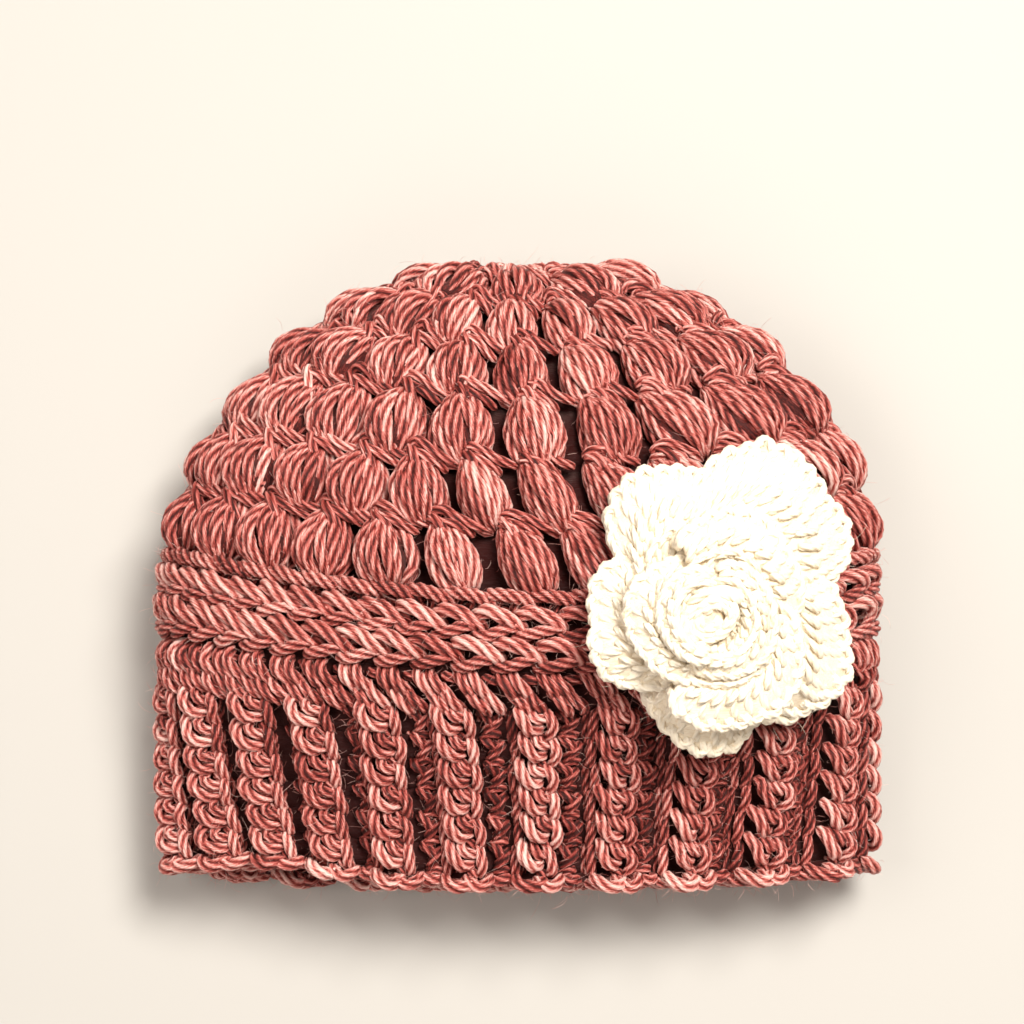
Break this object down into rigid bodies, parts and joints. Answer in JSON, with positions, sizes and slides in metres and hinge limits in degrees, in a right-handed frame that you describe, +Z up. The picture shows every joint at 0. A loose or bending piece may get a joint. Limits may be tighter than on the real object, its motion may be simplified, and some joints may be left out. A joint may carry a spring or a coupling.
{
  "type": "crocheted baby beanie",
  "caption": "Crocheted newborn beanie with a puff-stitch crown, two ridge braids, a ribbed brim and a crocheted rose on one side, lying flat.",
  "frame": {"origin": "centre of the bounding box's underside, where the back layer lies on the surface", "axes": "+X across the hat, towards the side that carries the rose; +Y from the brim's mouth to the crown; +Z up, out of the front layer"},
  "size_m": [0.1551, 0.1366, 0.0662],
  "materials": {
    "rose_pink_yarn": "dusty rose plied yarn with a soft satin sheen and a little fuzz",
    "cream_yarn": "soft cream plied yarn, matt and slightly fuzzy"
  },
  "bodies": {
    "hat": {"brim_edge": "rose_pink_yarn", "rib_round_1": "rose_pink_yarn", "rib_round_2": "rose_pink_yarn", "rib_round_3": "rose_pink_yarn", "rib_round_4": "rose_pink_yarn", "rib_round_5": "rose_pink_yarn", "rib_round_6": "rose_pink_yarn", "join_round": "rose_pink_yarn", "braid_lower": "rose_pink_yarn", "braid_upper": "rose_pink_yarn", "plain_round": "rose_pink_yarn", "puff_round_1": "rose_pink_yarn", "puff_round_2": "rose_pink_yarn", "puff_round_3": "rose_pink_yarn", "puff_round_4": "rose_pink_yarn", "puff_round_5": "rose_pink_yarn", "puff_round_6": "rose_pink_yarn", "crown_closing": "rose_pink_yarn"},
    "rose": {"rose_base": "cream_yarn", "outer_petal_1": "cream_yarn", "outer_petal_2": "cream_yarn", "outer_petal_3": "cream_yarn", "outer_petal_4": "cream_yarn", "outer_petal_5": "cream_yarn", "middle_petal_1": "cream_yarn", "middle_petal_2": "cream_yarn", "middle_petal_3": "cream_yarn", "inner_petal_1": "cream_yarn", "inner_petal_2": "cream_yarn", "rose_bud": "cream_yarn"}
  },
  "joints": [
    {"name": "rose_lift", "type": "hinge", "parent": "hat", "child": "rose", "pos_m": [0.0214, -0.0116, 0.0488], "axis": [0, -1, 0], "range_deg": [0, 12], "stiffness_Nm_per_rad": 0.02}
  ]
}
